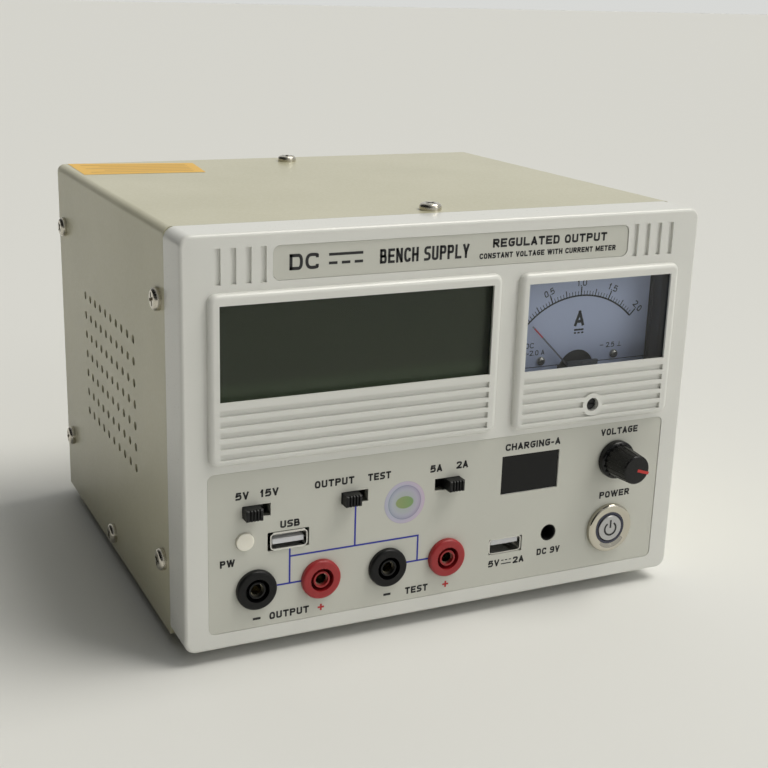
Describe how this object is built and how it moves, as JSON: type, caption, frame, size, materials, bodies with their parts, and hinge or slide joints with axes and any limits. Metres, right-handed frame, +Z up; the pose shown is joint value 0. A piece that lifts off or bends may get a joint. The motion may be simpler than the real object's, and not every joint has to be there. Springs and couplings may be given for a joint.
{
  "type": "bench power supply",
  "caption": "Bench power supply: folded steel case, moulded front with display, pointer meter, banana and USB sockets, slide switches, knob and push button.",
  "frame": {"origin": "centre of the footprint, at the underside of the feet", "axes": "+X to the right seen from the front, +Y from the front panel to the rear, +Z up"},
  "size_m": [0.1998, 0.1914, 0.1484],
  "materials": {
    "bezel_abs": "glossy moulded off-white ABS",
    "label_polycarbonate": "printed grey polycarbonate label",
    "powder_coat": "satin beige powder coat on steel sheet",
    "zinc_sheet": "zinc-plated steel sheet",
    "nickel_screw": "nickel-plated steel",
    "foot_rubber": "matte black rubber",
    "display_window": "clear acrylic window",
    "display_glass": "unlit liquid-crystal panel",
    "circuit_board": "solder-masked glass-epoxy board",
    "meter_clear": "clear moulded styrene",
    "black_moulding": "black moulded plastic",
    "dial_enamel": "printed white dial plate",
    "inner_steel": "plain steel",
    "brass": "turned brass",
    "pointer_alloy": "painted aluminium pointer",
    "usb_steel": "bright tin-plated steel shell",
    "white_plastic": "white moulded plastic",
    "display_black": "dark filter over a small display",
    "lens_white": "milky diffusing lens",
    "button_chrome": "bright-plated brass",
    "button_blue": "dark blue light ring",
    "knob_black": "black moulded knob",
    "knob_red": "red pointer insert",
    "socket_black": "glossy black nylon",
    "socket_red": "glossy red nylon",
    "lamination": "varnished silicon-steel laminations",
    "winding": "taped copper winding",
    "heatsink_aluminium": "extruded aluminium",
    "capacitor_sleeve": "shrink-sleeved aluminium can",
    "fuse_glass": "glass fuse tube"
  },
  "bodies": {
    "chassis": {"front_bezel": "bezel_abs", "control_overlay": "label_polycarbonate", "name_plate": "label_polycarbonate", "lcd_window": "display_window", "lcd_panel": "display_glass", "display_board": "circuit_board", "case_cover": "powder_coat", "chassis_tray": "powder_coat", "rear_panel": "powder_coat", "cover_screws": "nickel_screw", "chassis_screws": "nickel_screw", "feet": "foot_rubber", "meter_cover": "meter_clear", "meter_base": "black_moulding", "meter_dial": "dial_enamel", "meter_dial_screws": "nickel_screw", "meter_bridge": "inner_steel", "meter_movement": "black_moulding", "meter_studs": "brass", "control_board": "circuit_board", "slide_switches": "inner_steel", "usb_output_socket": "usb_steel", "usb_charge_socket": "usb_steel", "usb_tongues": "white_plastic", "charge_board": "circuit_board", "dc_jack": "black_moulding", "charging_display": "display_black", "indicator_lens": "lens_white", "power_button_body": "button_chrome", "power_button_ring": "button_blue", "panel_nuts": "nickel_screw", "potentiometer": "inner_steel", "output_negative_socket": "socket_black", "output_positive_socket": "socket_red", "test_negative_socket": "socket_black", "test_positive_socket": "socket_red", "socket_contacts": "nickel_screw", "socket_nuts": "nickel_screw", "transformer_core": "lamination", "transformer_winding": "winding", "heatsink": "heatsink_aluminium", "power_transistors": "black_moulding", "main_board": "circuit_board", "filter_capacitors": "capacitor_sleeve", "fan_frame": "black_moulding", "mains_inlet": "black_moulding", "inlet_pins": "brass", "fuse_holder": "black_moulding"},
    "control_knob": {"voltage_knob": "knob_black", "knob_pointer": "knob_red", "potentiometer_shaft": "heatsink_aluminium"},
    "power_button": {"power_button_cap": "button_chrome"},
    "needle": {"meter_pointer": "pointer_alloy"},
    "zero_screw": {"meter_zero_screw": "black_moulding"},
    "voltage_range_switch": {"voltage_range_slider": "black_moulding"},
    "mode_switch": {"mode_slider": "black_moulding"},
    "current_range_switch": {"current_range_slider": "black_moulding"},
    "fan_wheel": {"fan_rotor": "black_moulding"},
    "fuse_carrier": {"fuse_cap": "black_moulding", "fuse": "fuse_glass"}
  },
  "joints": [
    {"name": "knob_turn", "type": "hinge", "parent": "chassis", "child": "control_knob", "pos_m": [0.0693, -0.08175, 0.0535], "axis": [0, 1, 0], "range_deg": [-258, 42]},
    {"name": "power_button_press", "type": "slide", "parent": "chassis", "child": "power_button", "axis": [0, 1, 0], "range_m": [0, 0.002], "stiffness_N_per_m": 800, "springref_m": -0.002},
    {"name": "pointer_swing", "type": "hinge", "parent": "chassis", "child": "needle", "pos_m": [0.0557, -0.08175, 0.0841], "axis": [0, 1, 0], "range_deg": [0, 90], "stiffness_Nm_per_rad": 0.0002, "springref_deg": -5.73},
    {"name": "zero_adjust", "type": "hinge", "parent": "chassis", "child": "zero_screw", "pos_m": [0.05565, -0.08175, 0.0768], "axis": [0, 1, 0], "range_deg": [-60, 60]},
    {"name": "voltage_range_slide", "type": "slide", "parent": "chassis", "child": "voltage_range_switch", "axis": [1, 0, 0], "range_m": [0, 0.0038]},
    {"name": "mode_slide", "type": "slide", "parent": "chassis", "child": "mode_switch", "axis": [1, 0, 0], "range_m": [0, 0.0038]},
    {"name": "current_range_slide", "type": "slide", "parent": "chassis", "child": "current_range_switch", "axis": [1, 0, 0], "range_m": [-0.0038, 0]},
    {"name": "fan_spin", "type": "hinge", "parent": "chassis", "child": "fan_wheel", "pos_m": [0.048, 0.07825, 0.077], "axis": [0, 1, 0], "continuous": true},
    {"name": "fuse_cap_turn", "type": "hinge", "parent": "chassis", "child": "fuse_carrier", "pos_m": [-0.018, 0.09025, 0.037], "axis": [0, 1, 0], "range_deg": [0, 45]}
  ]
}
